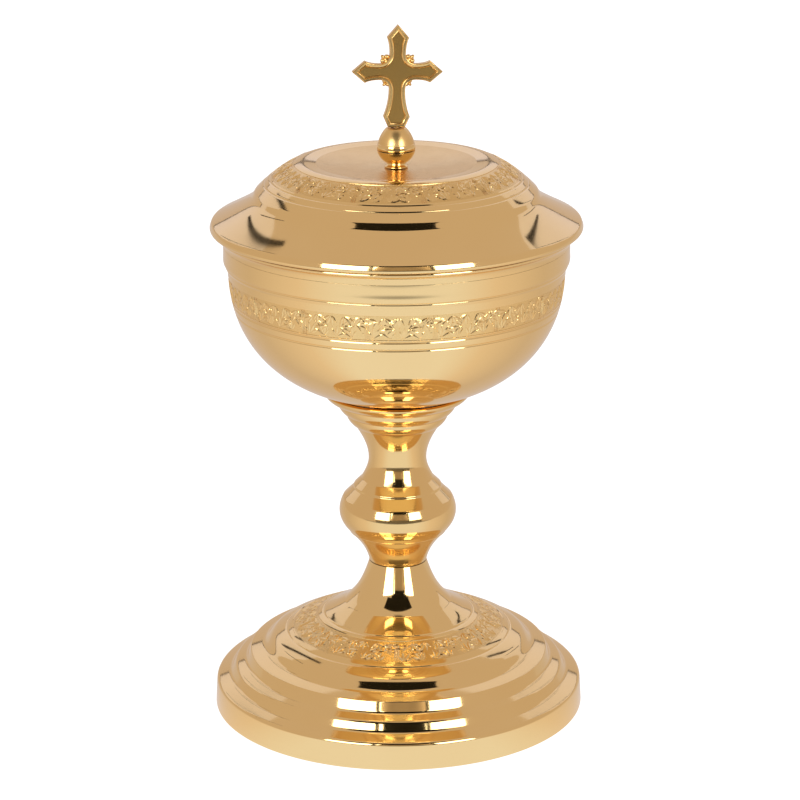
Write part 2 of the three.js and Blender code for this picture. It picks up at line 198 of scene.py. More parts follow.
def withSunkBand(points, start, end, depth, slope=0.12, count=24):
    # the ground of a chased band lies a little below the plain metal on both sides of it
    run = runAlong(points)
    fresh = [pointAt(points, run, start)]
    for i in range(count + 1):
        place = start + slope + (end - start - 2 * slope) * (i / count)
        p, outward = pointAt(points, run, place), outwardAt(points, run, place)
        fresh.append((p[0] - outward[0] * depth, p[1] - outward[1] * depth))
    fresh.append(pointAt(points, run, end))
    return replaceStretch(points, start, end, fresh)


def insideLine(points, wall, spacing=1.6, closest=0.93):
    # the hidden side of a spun wall, back along the outline, without what would crowd in a hollow corner
    run = runAlong(points)
    count = max(int(run[-1] / spacing), 2)
    stops = [run[-1] * i / count for i in range(count + 1)]
    thinned = [pointAt(points, run, s) for s in stops]
    inner = []
    for s in stops:
        p, out = pointAt(points, run, s), outwardAt(points, run, s)
        q = (p[0] - out[0] * wall, p[1] - out[1] * wall)
        if min(math.hypot(q[0] - t[0], q[1] - t[1]) for t in thinned) > wall * closest:
            inner.append(q)
    return inner[::-1]


def shellOutlines(piece, placeOf, level=0.0):
    # the plain outline, the two ends of the chased band along it, and the outline once it is worked
    plain = tracedOutline(piece["outline"])
    run = runAlong(plain)
    bandEnds = [placeOf(plain, run, at) for at in piece["band"]]
    grooves = [placeOf(plain, run, at) for at in piece["grooves"]]
    worked = withGrooves(plain, grooves, piece["grooveWidth"], piece["grooveDepth"])
    run = runAlong(worked)
    start, end = (placeOf(worked, run, at) for at in piece["band"])
    worked = withSunkBand(worked, start, end, piece["bandDepth"])
    return lifted(plain, level), bandEnds, lifted(worked, level)


def drawLine(points):
    # one vertex, extruded from point to point; the mesh stays in edit mode with all of it selected
    clearSelection()
    bpy.ops.mesh.primitive_plane_add(size=2 * mm, location=points[0])
    bpy.ops.object.mode_set(mode="EDIT")
    bpy.ops.mesh.select_mode(type="VERT")
    bpy.ops.mesh.select_all(action="SELECT")
    bpy.ops.mesh.merge(type="CENTER")
    for here, there in zip(points, points[1:]):
        bpy.ops.mesh.extrude_region_move(TRANSFORM_OT_translate={"value": Vector(there) - Vector(here)})
    bpy.ops.mesh.select_all(action="SELECT")
    bpy.ops.mesh.remove_doubles(threshold=weld)
    bpy.ops.mesh.select_all(action="SELECT")


def spinOutline(points, facets, closed=True):
    line = [(r * mm, 0, z * mm) for r, z in points]
    drawLine(line + line[:1] if closed else line)
    bpy.ops.mesh.spin(steps=facets, angle=turn, center=(0, 0, 0), axis=(0, 0, 1))
    bpy.ops.mesh.select_all(action="SELECT")
    bpy.ops.mesh.remove_doubles(threshold=weld)
    bpy.ops.mesh.normals_make_consistent(inside=False)
    bpy.ops.object.mode_set(mode="OBJECT")


# Foot: spun skirt, three treads, engraved cone and throat.
foot = {
    "wall": 0.9,
    "facets": 256,
    "outline": [
        (61.6, 0), (64.6, 0, 0.35), (64.05, 9.3, 1.1), (59.1, 11.0, 0.9), (57.25, 14.35, 0.8),
        (53.5, 15.7, 0.9), (52.0, 19.5, 0.35), (47.6, 20.6, 0.6),
        ("curve", (46.2, 21.2), (45.2, 23.7), (43.0, 24.75), 10, 0.4),
        (25.2, 33.0, 1.2),
        ("curve", (23.2, 33.95), (20.8, 35.3), (18.7, 36.75), 8, 0.25),
        ("curve", (15.6, 39.7), (13.0, 42.2), (10.0, 51.7), 30),
        (3.3, 51.7),
    ],
    "grooves": (39.3, 26.2),    # radii
    "grooveWidth": 1.3,
    "grooveDepth": 0.2,
    "band": (37.4, 28.0),       # radii
    "bandDepth": 0.18,
    "bandUnits": 9,             # repeats of the design round it
    "bandPhase": 0.4,
}
footPlain, footBand, footWorked = shellOutlines(foot, distanceAtRadius)
spinOutline(footWorked + insideLine(footPlain, foot["wall"]), foot["facets"])
footShell = finishPiece("foot_shell_spun", "cup")
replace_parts(footShell, "foot_shell")
print("foot spun:", len(footShell.data.polygons), "faces")


# Stem: neck, knop and the three-tiered collar, turned in one with a bore for the rod.
stem = {
    "facets": 192,
    "bore": 3.3,
    "outline": [
        (3.3, 52.0), (10.0, 52.0),
        ("curve", (12.2, 61.5), (20.3, 63.5), (20.3, 70.3), 40),
        ("curve", (20.3, 72.1), (19.7, 73.85), (18.9, 75.3), 14, 0.3),
        (15.35, 78.7, 0.15), (15.2, 79.4, 0.15), (12.55, 82.0, 0.3),
        ("curve", (11.5, 83.95), (10.0, 86.5), (10.0, 89.3), 20),
        ("curve", (10.0, 94.0), (12.6, 98.3), (14.6, 101.3), 20, 0.15),
        ("curve", (15.9, 102.0), (17.5, 103.8), (17.6, 105.5), 10, 0.15),
        ("curve", (19.0, 106.1), (20.4, 107.8), (20.5, 109.5), 10, 0.15),
        ("curve", (22.6, 110.2), (24.9, 111.7), (25.2, 113.2), 10, 0.15),
        (24.3, 113.6),
    ],
    "seatRadius": 24.9,         # the dish in which the bowl sits
    "seatGap": 0.32,
    "pocketRadius": 8.0,        # room for the boss under the bowl
    "pocketFloor": 101.0,
    "ridgeHeight": 63.0,        # a fine turned ridge under the knop
    "ridgeWidth": 0.8,
    "ridgeRise": 0.14,
}
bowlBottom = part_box("cup_bowl")[0].z / mm
bowlCurve = ((0, 0), (29.25, 0), (57.35, 13.24), (57.35, 47.3))     # from the axis to the straight mouth
seat = [(r, z - stem["seatGap"]) for r, z in lifted(curvePoints(*bowlCurve, 60), bowlBottom)
        if stem["pocketRadius"] < r < stem["seatRadius"]][::-1]
outline = tracedOutline(stem["outline"])
ridge = distanceAtHeight(outline, runAlong(outline), stem["ridgeHeight"])
outline = withGrooves(outline, [ridge], stem["ridgeWidth"], -stem["ridgeRise"])
pocket = [(stem["pocketRadius"], seat[-1][1]), (stem["pocketRadius"], stem["pocketFloor"]),
          (stem["bore"], stem["pocketFloor"])]
spinOutline(outline + seat + pocket, stem["facets"])
knopStem = finishPiece("knop_stem_turned", "cup")
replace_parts(knopStem, "knop_stem")
print("stem turned:", len(knopStem.data.polygons), "faces")


# Bowl: drawn to a round bottom, straight at the mouth, with a cove under the band and a beaded lip.
bowl = {
    "wall": 1.0,
    "facets": 256,
    "outline": [
        bowlCurve[0], ("curve", *bowlCurve[1:], 90),
        (57.35, 49.1, 0.3),
        ("curve", (57.1, 49.8), (56.6, 50.4), (56.6, 51.2), 8),
        (56.6, 55.66), (58.76, 55.66),
        ("curve", (58.8, 57.3), (59.6, 58.5), (60.9, 58.9), 12),
        (61.15, 59.3, 0.15), (61.0, 59.9, 0.3),
        (60.1, 59.9, 0.2),
    ],
    "lipPoints": 8,             # the last points of the rounded lip, where the inside ends
    "bottomGap": 0.8,           # mm round the axis that the inside crosses in one straight line
    "grooves": (35.7, 32.8),    # heights
    "grooveWidth": 1.2,
    "grooveDepth": 0.26,
    "band": (36.5, 45.0),       # heights
    "bandDepth": 0.2,
    "bandUnits": 16,
    "bandPhase": 0.1,
}
bowlPlain, bowlBand, bowlWorked = shellOutlines(bowl, distanceAtHeight, bowlBottom)
inside = [p for p in insideLine(bowlPlain[:-bowl["lipPoints"]], bowl["wall"]) if p[0] > bowl["bottomGap"]]
spinOutline(bowlWorked + inside + [(0, bowlBottom + bowl["wall"])], bowl["facets"], closed=False)
cupBowl = finishPiece("cup_bowl_spun", "cup")
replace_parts(cupBowl, "cup_bowl")
print("bowl spun:", len(cupBowl.data.polygons), "faces")


# Band soldered round the mouth of the bowl: burnished down to it at its foot, fullest just above.
bandFoot, bandTop = (corner.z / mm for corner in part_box("cup_rim_band"))
band = {
    "facets": 256,
    "outline": [
        (57.45, 0), (57.85, 0, 0.05),
        ("curve", (58.3, 1.0), (58.83, 1.7), (58.83, 2.8), 14),
        ("curve", (58.83, 3.6), (58.76, 4.4), (58.76, 5.6), 12),
        (58.76, bandTop - bandFoot, 0.05), (57.45, bandTop - bandFoot),
    ],
    "grooveHeight": 1.3,
    "grooveWidth": 1.2,
    "grooveDepth": 0.32,
}
outline = tracedOutline(band["outline"])
groove = distanceAtHeight(outline, runAlong(outline), band["grooveHeight"])
outline = withGrooves(outline, [groove], band["grooveWidth"], band["grooveDepth"])
spinOutline(lifted(outline, bandFoot), band["facets"])
rimBand = finishPiece("cup_rim_band_rolled", "cup")
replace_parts(rimBand, "cup_rim_band")
print("rim band rolled:", len(rimBand.data.polygons), "faces")


# Lid: hem, flange, cove, engraved dome and dished top.
lid = {
    "wall": 0.9,
    "facets": 256,
    "outline": [
        (62.0, 0),
        ("curve", (62.9, 0.15), (63.15, 0.7), (63.1, 1.35), 8),
        (62.55, 2.85, 0.3), (62.2, 3.1),
        ("curve", (55.9, 6.2), (49.9, 9.3), (48.6, 11.55), 40),
        (47.7, 13.1, 0.5),
        ("curve", (43.8, 16.87), (38.3, 21.8), (32.1, 23.3), 40, 1.8),
        ("curve", (24.0, 22.2), (14.0, 20.97), (7.0, 20.8), 30),
        (1.8, 20.8),
    ],
    "grooves": (44.75, 42.7),   # radii
    "grooveWidth": 1.1,
    "grooveDepth": 0.17,
    "band": (42.0, 34.4),       # radii
    "bandDepth": 0.18,
    "bandUnits": 11,
    "bandPhase": 0.25,
}
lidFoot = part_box("lid_shell")[0].z / mm
lidPlain, lidBand, lidWorked = shellOutlines(lid, distanceAtRadius, lidFoot)
spinOutline(lidWorked + insideLine(lidPlain, lid["wall"]), lid["facets"])
lidShell = finishPiece("lid_shell_spun", "lid")
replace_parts(lidShell, "lid_shell")
print("lid spun:", len(lidShell.data.polygons), "faces")


# Ring soldered inside the lid: its flange sits on the lip, its wall drops into the bowl.
ring = {
    "facets": 192,
    "outline": [(55.05, -6.0), (55.95, -6.0, 0.25), (55.95, 0, 0.25), (61.0, 0), (61.0, 0.9, 0.25),
                (55.05, 0.9)],
}
spinOutline(lifted(tracedOutline(ring["outline"]), lidFoot), ring["facets"])
locatingRing = finishPiece("lid_locating_ring_turned", "lid")
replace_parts(locatingRing, "lid_locating_ring")
print("locating ring turned:", len(locatingRing.data.polygons), "faces")


# Knob: flared base and pear-shaped cap, each with fine turned lines.
knob = {
    "facets": 96,
    "base": [(1.8, 0), (4.0, 0, 0.1), (4.0, 0.35, 0.15), ("curve", (3.5, 0.6), (3.15, 0.9), (3.1, 1.3), 6),
             ("curve", (4.7, 1.9), (6.2, 3.9), (6.5, 5.7), 18, 0.12), (1.8, 5.7)],
    "cap": [(1.8, 0), (6.5, 0, 0.12), ("curve", (6.55, 0.7), (6.5, 1.3), (6.3, 1.95), 8, 0.08),
            (6.15, 2.05, 0.05), ("curve", (5.9, 3.4), (5.0, 5.6), (3.3, 7.3), 16, 0.3), (1.8, 7.3)],
    "polished": 2.0,            # mm at the foot of the cap that the mop reached
}
for part, node in (("base", "knob_base"), ("cap", "knob_cap")):
    spinOutline(lifted(tracedOutline(knob[part]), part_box(node)[0].z / mm), knob["facets"])
    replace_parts(finishPiece(node + "_turned", "lid"), node)
print("knob turned")


# Cross: cast in one with its leafy curls; border and sunk field on both faces.
cross = {
    "thickness": 2.6,
    "edgeStep": 0.24,           # mm that its sides end short of that at each face
    "upper": 15.7,              # from the centre to the top
    "leg": 18.7,
    # right side from the foot of the leg up to the top, (across, up) from the centre
    "rightSide": [
        (2.8, -18.7), (4.4, -15.2),
        ("curve", (3.5, -13.0), (2.65, -10.0), (2.65, -6.0), 8),
        ("curve", (2.75, -4.1), (4.1, -2.75), (6.0, -2.65), 7),
        ("curve", (8.4, -2.65), (9.8, -3.0), (11.0, -3.6), 5),
        (15.2, 0), (11.0, 3.6),
        ("curve", (9.8, 3.0), (8.4, 2.65), (6.0, 2.65), 5),
        ("curve", (4.1, 2.75), (2.75, 4.1), (2.65, 6.0), 7),
        ("curve", (2.65, 8.4), (3.0, 9.8), (3.6, 11.5), 5),
    ],
    # steps inwards from the rim: (width, rise); a slope, a narrow gutter, a round bead, then down to the field
    "border": ((0.14, 0.14), (0.12, 0.03), (0.14, -0.1), (0.5, -0.03), (0.12, 0.14), (0.14, 0.07),
               (0.14, -0.07), (0.12, -0.14), (0.1, -0.3)),
    "fieldArea": 40,            # square mm; only the sunk fields are larger
    "lean": 1.4,                # degrees, as it was brazed on
}
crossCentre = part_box("cross")[0].z / mm + cross["leg"]


def drawLoop(points):
    # a closed line, filled; the mesh stays in edit mode with the face selected
    drawLine(points + points[:1])
    bpy.ops.mesh.edge_face_add()
    bpy.ops.mesh.select_mode(type="FACE")


def selectWhere(kind, test):
    # picks vertices or faces by a test, and nothing else, in edit mode
    mesh = bpy.context.object.data
    bpy.ops.object.mode_set(mode="OBJECT")
    for part in (mesh.vertices, mesh.edges, mesh.polygons):
        part.foreach_set("select", [False] * len(part))
    for item in getattr(mesh, kind):
        item.select = test(item)
    bpy.ops.object.mode_set(mode="EDIT")


side = tracedOutline(cross["rightSide"])
loop = side + [(0, cross["upper"])] + [(-x, z) for x, z in side[::-1]]
edgeY = cross["thickness"] / 2 - cross["edgeStep"]
drawLoop([(x * mm, edgeY * mm, (z + crossCentre) * mm) for x, z in loop])
bpy.ops.mesh.extrude_region_move(TRANSFORM_OT_translate={"value": (0, -2 * edgeY * mm, 0)})
bpy.ops.mesh.select_all(action="SELECT")
bpy.ops.mesh.normals_make_consistent(inside=False)
# the front and the back are the only faces with more than four corners
selectWhere("polygons", lambda face: abs(face.normal.y) > faceOn and len(face.vertices) > 4)
for width, step in cross["border"]:
    bpy.ops.mesh.inset(thickness=width * mm, depth=step * mm, use_even_offset=True)
bpy.ops.object.mode_set(mode="OBJECT")
crossBody = bpy.context.object

# One crook's leaf: a stem bead, three lobes round it and a rolled tip, then its three reflections.
curl = {
    "segments": 14,
    "rings": 8,
    # (across, up, radius across, radius up, half thickness, turn in degrees)
    "lobes": ((3.2, 3.2, 1.5, 1.5, 0.8, 45), (3.55, 5.0, 0.95, 0.75, 0.75, 15),
              (5.0, 3.55, 0.95, 0.75, 0.75, 75), (4.85, 4.85, 0.95, 0.6, 0.7, 45),
              (4.1, 4.1, 0.62, 0.62, 1.0, 0)),
    "lower": 0.87,              # the two lower curls are a little smaller
}
curlParts = []
for across, up, wide, high, thick, turned in curl["lobes"]:
    for sideways in (1, -1):
        for level, share in ((1, 1.0), (-1, curl["lower"])):
            clearSelection()
            bpy.ops.mesh.primitive_uv_sphere_add(
                segments=curl["segments"], ring_count=curl["rings"], radius=mm,
                location=(across * sideways * share * mm, 0, (crossCentre + up * level * share) * mm))
            lobe = bpy.context.object
            lobe.scale = (wide * share, thick, high * share)
            lobe.rotation_euler = (0, math.radians(-turned * sideways * level), 0)
            curlParts.append(lobe)
joinParts(crossBody, *curlParts)
crossFoot = Matrix.Translation((0, 0, (crossCentre - cross["leg"]) * mm))
lean = Matrix.Rotation(math.radians(cross["lean"]), 4, "Y")
crossBody.matrix_world = crossFoot @ lean @ crossFoot.inverted()
castCross = finishPiece("cross_cast", "lid", 28)
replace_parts(castCross, "cross")
print("cross cast:", len(castCross.data.polygons), "faces")


# Chased bands: pointed leaves, bars and berries are modelled once, flat, and laid on the sunk ground.
relief = {
    "unit": 22.0,               # mm of design before it repeats
    "height": 9.4,              # mm of band that it fills at its own size
    "halfLaid": 3.6,            # mm from the middle line past which nothing is laid
    # sprays of leaves that cross like an X: root along the band, up the band (mm), turn in degrees
    "sprays": ((0.9, -3.9, 58), (4.4, 3.9, -64), (6.4, -3.9, 116), (9.3, 3.9, -120), (10.6, -3.9, 52),
               (13.6, 3.9, -58), (15.9, -3.9, 122), (18.8, 3.9, -118), (2.6, 2.6, 170), (12.0, -0.4, 10),
               (8.0, -0.2, 188), (17.4, 1.2, 8)),
    # each leaf of a spray: turn from the middle one, length, width (mm)
    "leaves": ((0, 4.6, 1.25), (31, 3.9, 1.1), (-31, 3.9, 1.1), (63, 2.9, 0.9), (-63, 2.9, 0.9)),
    "leafHeight": 0.15,
    "leafMiddle": 0.56,         # share of its length from the root of the spray to its middle
    "leafWidths": (0, 0.55, 0.9, 1.0, 0.86, 0.58, 0.3, 0),
    "bars": (20.4, 21.0, 21.6),
    "barSize": (8.4, 0.34, 0.14),
    "barWidths": (0.3, 1.0, 1.0, 1.0, 0.3),
    "berries": ((3.4, 0.9), (14.8, -1.2), (19.6, -2.2)),
    "berrySize": (0.7, 0.7, 0.12),
    "groundFacing": 0.5,        # ground is what looks outwards by at least this much
}
# kind, along, up, turn in degrees, length, width, height
design = [("bar", along, 0.0, 90, *relief["barSize"]) for along in relief["bars"]]
design += [("berry", along, up, 0, *relief["berrySize"]) for along, up in relief["berries"]]
for along, up, turned in relief["sprays"]:
    for fan, length, width in relief["leaves"]:
        direction = math.radians(turned + fan)
        away = length * relief["leafMiddle"]
        design.append(("leaf", along + math.cos(direction) * away, up + math.sin(direction) * away,
                       turned + fan, length, width, relief["leafHeight"]))
design = [row for row in design if abs(row[2]) < relief["halfLaid"]]


def ridgedBlade(name, halfWidths):
    # unit blade along X: a grid drawn in to its outline, with the middle line raised; pointed ends are closed
    clearSelection()
    columns = len(halfWidths) - 1
    bpy.ops.mesh.primitive_grid_add(x_subdivisions=columns, y_subdivisions=2, size=1)
    blade = bpy.context.object
    bpy.ops.object.mode_set(mode="EDIT")
    bpy.ops.mesh.select_mode(type="VERT")
    for column, half in enumerate(halfWidths):
        here = column / columns - 0.5
        selectWhere("vertices", lambda vertex: abs(vertex.co.x - here) < hair)
        bpy.ops.transform.resize(value=(1, max(half, 0.001), 1), center_override=(here, 0, 0))
    selectWhere("vertices", lambda vertex: abs(vertex.co.y) < hair and abs(vertex.co.x) < 0.5 - hair)
    bpy.ops.transform.translate(value=(0, 0, 1))
    bpy.ops.mesh.select_all(action="SELECT")
    bpy.ops.mesh.remove_doubles(threshold=0.01)
    bpy.ops.mesh.normals_make_consistent(inside=False)
    bpy.ops.object.mode_set(mode="OBJECT")
    blade.name = name
    return blade


grounds = {}


def chaseBand(name, body, hostName, piece, points, ends):
    # lays the design round a shell, between two distances along its outline
    run = runAlong(points)
    low, high = ends
    middle = (low + high) / 2
    radius = pointAt(points, run, middle)[0]
    stretch = turn * radius / (piece["bandUnits"] * relief["unit"])
    squeeze = (high - low) / relief["height"]
    laid = []
    for kind, along, up, angle, length, width, height in design:
        place = middle + up * squeeze
        (r, z), out = pointAt(points, run, place), outwardAt(points, run, place)
        r, z = r - out[0] * piece["bandDepth"], z - out[1] * piece["bandDepth"]
        a = piece["bandPhase"] + along * stretch / radius
        spot = Vector((r * math.cos(a), r * math.sin(a), z)) * mm
        across = Vector((-math.sin(a), math.cos(a), 0))
        outward = Vector((out[0] * math.cos(a), out[0] * math.sin(a), out[1]))
        lie = Matrix((across, outward.cross(across), outward)).transposed().to_4x4()
        pick(blanks[kind])
        bpy.ops.object.duplicate(linked=False)
        copy = bpy.context.object
        copy.matrix_world = (Matrix.Translation(spot) @ lie @ Matrix.Rotation(math.radians(angle), 4, "Z")
                             @ Matrix.Diagonal((length * mm, width * mm, height * mm, 1)))
        laid.append(copy)
    unit = joinParts(*laid)
    units = [unit]
    for i in range(1, piece["bandUnits"]):
        pick(unit)
        bpy.ops.object.duplicate(linked=False)
        bpy.context.object.rotation_euler = (0, 0, turn * i / piece["bandUnits"])
        units.append(bpy.context.object)
    joinParts(*units)
    # the ground between the leaves gets its own finish, so its place is kept
    grounds[hostName] = [pointAt(points, run, low), pointAt(points, run, high), outwardAt(points, run, middle)]
    finishPiece(name, body, 12)


blanks = {"leaf": ridgedBlade("blank_leaf", relief["leafWidths"]),
          "bar": ridgedBlade("blank_bar", relief["barWidths"])}
clearSelection()
bpy.ops.mesh.primitive_uv_sphere_add(segments=10, ring_count=6, radius=0.5)
blanks["berry"] = bpy.context.object
blanks["berry"].scale = (1, 1, 2)
placeIntoMesh()
chaseBand("cup_frieze_chased", "cup", "cup_bowl_spun", bowl, bowlPlain, bowlBand)
chaseBand("lid_frieze_chased", "lid", "lid_shell_spun", lid, lidPlain, lidBand)
chaseBand("foot_frieze_chased", "cup", "foot_shell_spun", foot, footPlain, footBand)
pick(*blanks.values())
bpy.ops.object.delete()
print("bands chased")


# Screws, nuts and washers inside, seen from below and when the lid is off.
fixings = {
    "facets": 48,
    "threadSteps": 20,          # faces in one turn of thread
    "toothDepth": 0.61,         # of the pitch, as on any metric thread
    "toothStops": (0, 0.42, 0.54, 0.94),    # of the pitch: root, start and end of the crest, root
    "toothSink": 0.06,          # mm that a tooth starts inside the core
    "nutFace": 0.97,            # of the width across flats, left flat by the chamfer
    "nutSlope": 0.62,           # rise of the chamfer for its width
    "cutSnap": 0.00001,
    "washerEdges": (0.1, 0.25, 0.15, 0.1),  # bore and rim below, rim and bore above
    # node, body, slot, pitch, chamfer at the ends
    "screws": (("tie_rod", "cup", "zinc_steel", 1.0, 0.6), ("cross_stud", "lid", "plain_brass", 0.5, 0.3)),
    # node, body, slot, bore, countersink
    "nuts": (("tie_rod_nut", "cup", "zinc_steel", 3.0, 1.0), ("finial_nut", "lid", "plain_brass", 1.5, 0.5)),
    # node, body, slot, bore
    "washers": (("stem_washer", "cup", "zinc_steel", 3.25), ("finial_washer", "lid", "plain_brass", 1.75)),
}
for node, body, materialSlot, pitch, chamfer in fixings["screws"]:
    low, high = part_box(node)
    radius, bottom, top = high.x / mm, low.z / mm, high.z / mm
    root = radius - fixings["toothDepth"] * pitch
    flank = (root - fixings["toothSink"], radius, radius, root - fixings["toothSink"])
    drawLoop([(r * mm, 0, (bottom + chamfer + pitch * stop) * mm)
              for r, stop in zip(flank, fixings["toothStops"])])
    bpy.ops.mesh.delete(type="ONLY_FACE")
    bpy.ops.object.mode_set(mode="OBJECT")
    placeIntoMesh()
    thread = bpy.context.object
    bpy.ops.object.modifier_add(type="SCREW")
    screw = thread.modifiers[0]
    screw.axis = "Z"
    screw.screw_offset = pitch * mm
    screw.iterations = int((top - bottom - 2 * chamfer) / pitch) - 1
    screw.steps = screw.render_steps = fixings["threadSteps"]
    bpy.ops.object.modifier_apply(modifier=screw.name)
    bpy.ops.object.mode_set(mode="EDIT")
    bpy.ops.mesh.select_all(action="SELECT")
    bpy.ops.mesh.fill_holes(sides=0)
    bpy.ops.mesh.select_all(action="SELECT")
    bpy.ops.mesh.normals_make_consistent(inside=False)
    bpy.ops.object.mode_set(mode="OBJECT")
    spinOutline([(0, bottom), (root - chamfer / 2, bottom), (root, bottom + chamfer / 2),
                 (root, top - chamfer / 2), (root - chamfer / 2, top), (0, top)], fixings["facets"], closed=False)
    joinParts(bpy.context.object, thread)
    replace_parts(finishPiece(node + "_threaded", body), node)

for node, body, materialSlot, bore, sink in fixings["nuts"]:
    low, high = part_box(node)
    bottom, top = low.z / mm, high.z / mm
    flat = min(high.x, high.y) / mm
    corner = flat / math.cos(math.radians(30))
    slope = (corner - flat) * fixings["nutSlope"]
    face, mouth = flat * fixings["nutFace"], bore + sink / 2
    spinOutline([(mouth, bottom), (face, bottom), (corner, bottom + slope), (corner, top - slope),
                 (face, top), (mouth, top), (bore, top - sink / 2), (bore, bottom + sink / 2)], fixings["facets"])
    bpy.ops.object.mode_set(mode="EDIT")
    firstFlat = 0 if high.y > high.x else 30
    for i in range(6):
        a = math.radians(firstFlat + 60 * i)
        outward = Vector((math.cos(a), math.sin(a), 0))
        bpy.ops.mesh.select_all(action="SELECT")
        bpy.ops.mesh.bisect(plane_co=outward * flat * mm, plane_no=outward, use_fill=True, clear_outer=True,
                            threshold=fixings["cutSnap"] * mm)
    bpy.ops.mesh.select_all(action="SELECT")
    bpy.ops.mesh.normals_make_consistent(inside=False)
    bpy.ops.object.mode_set(mode="OBJECT")
    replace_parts(finishPiece(node + "_chamfered", body, 20), node)

for node, body, materialSlot, bore in fixings["washers"]:
    low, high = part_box(node)
    bottom, top, rim = low.z / mm, high.z / mm, high.x / mm
    corners = zip((bore, rim, rim, bore), (bottom, bottom, top, top), fixings["washerEdges"])
    spinOutline(tracedOutline(corners), fixings["facets"])
    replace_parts(finishPiece(node + "_pressed", body), node)
print("fixings made")


def linearColour(code):
    channels = [int(code[i:i + 2], 16) / 255 for i in (1, 3, 5)]
    return [c / 12.92 if c <= 0.04045 else ((c + 0.055) / 1.055) ** 2.4 for c in channels] + [1.0]


def addNode(tree, kind, settings=None, inputs=None, links=None):
    # settings are the node's own choices, inputs its socket values, links its wires
    node = tree.nodes.new(kind)
    for name, value in (settings or {}).items():
        setattr(node, name, value)
    for name, value in (inputs or {}).items():
        node.inputs[name].default_value = value
    for name, (source, socket) in (links or {}).items():
        tree.links.new(source.outputs[socket], node.inputs[name])
    return node


def emptyMaterial(name):
    material = bpy.data.materials.new(name)
    material.use_nodes = True
    material.node_tree.nodes.clear()
    return material, material.node_tree


# lay "round": lines that follow the lathe; "none": the same grain every way; "dots": round punch marks.
# grain and depth are in mm, patch is the size of the cloudy change in tone.
finishes = {
    # spun sheet, mopped to a mirror: sharp reflections, only a breath of lines round it
    "polished_gilt_brass_spun": {
        "pale": "#F7D797", "warm": "#F3D08F", "roughness": (0.05, 0.09), "patch": 30.0,
        "lay": "round", "grain": 0.35, "depth": 0.004},
    # turned from bar and polished: as bright, with slightly closer tool lines
    "polished_gilt_brass_turned": {
        "pale": "#F6D594", "warm": "#F0CB88", "roughness": (0.06, 0.11), "patch": 18.0,
        "lay": "round", "grain": 0.3, "depth": 0.004},
    # turned and left off the mop: a soft, silky knob (real tool lines 0.05 mm, drawn four times coarser)
    "satin_gilt_brass_turned": {
        "pale": "#F2CF8C", "warm": "#EBC580", "roughness": (0.26, 0.34), "patch": 8.0,
        "lay": "round", "grain": 0.2, "depth": 0.006},
    # sand cast, wire brushed and gilt: broad dull light, a fine even grain (sand of 0.2 mm)
    "satin_gilt_brass_cast": {
        "pale": "#F0CC86", "warm": "#E8C078", "roughness": (0.16, 0.24), "patch": 6.0,
        "lay": "none", "grain": 0.25, "depth": 0.008},
    # sunk field of the cross, darker and duller: a brown gold between bright borders
    "darker_gilt_brass_field": {
        "pale": "#C29A55", "warm": "#B58C48", "roughness": (0.2, 0.28), "patch": 6.0,
        "lay": "none", "grain": 0.25, "depth": 0.006},
    # raised by the chaser and burnished: soft bright edges
    "chased_gilt_brass": {
        "pale": "#F5D492", "warm": "#EFCB88", "roughness": (0.13, 0.2), "patch": 5.0,
        "lay": "none", "grain": 0.5, "depth": 0.006},
    # sunk ground, matted with a round punch (real marks 0.3 mm, drawn twice as coarse so that they show)
    "matted_gilt_brass_punched": {
        "pale": "#F0CE8C", "warm": "#E9C480", "roughness": (0.2, 0.3), "patch": 7.0,
        "lay": "dots", "grain": 0.6, "depth": 0.02},
    # plain brass as it leaves the lathe: yellower, with open lines
    "plain_brass_turned": {
        "pale": "#DDBB6E", "warm": "#CDA858", "roughness": (0.2, 0.3), "patch": 6.0,
        "lay": "round", "grain": 0.2, "depth": 0.008},
    # bright zinc over steel: cool grey, slightly cloudy
    "zinc_plated_steel": {
        "pale": "#C9CCCF", "warm": "#B9BDC4", "roughness": (0.24, 0.36), "patch": 4.0,
        "lay": "none", "grain": 0.4, "depth": 0.004},
}
bumpStrength = {"round": 0.1, "none": 0.1, "dots": 0.6}


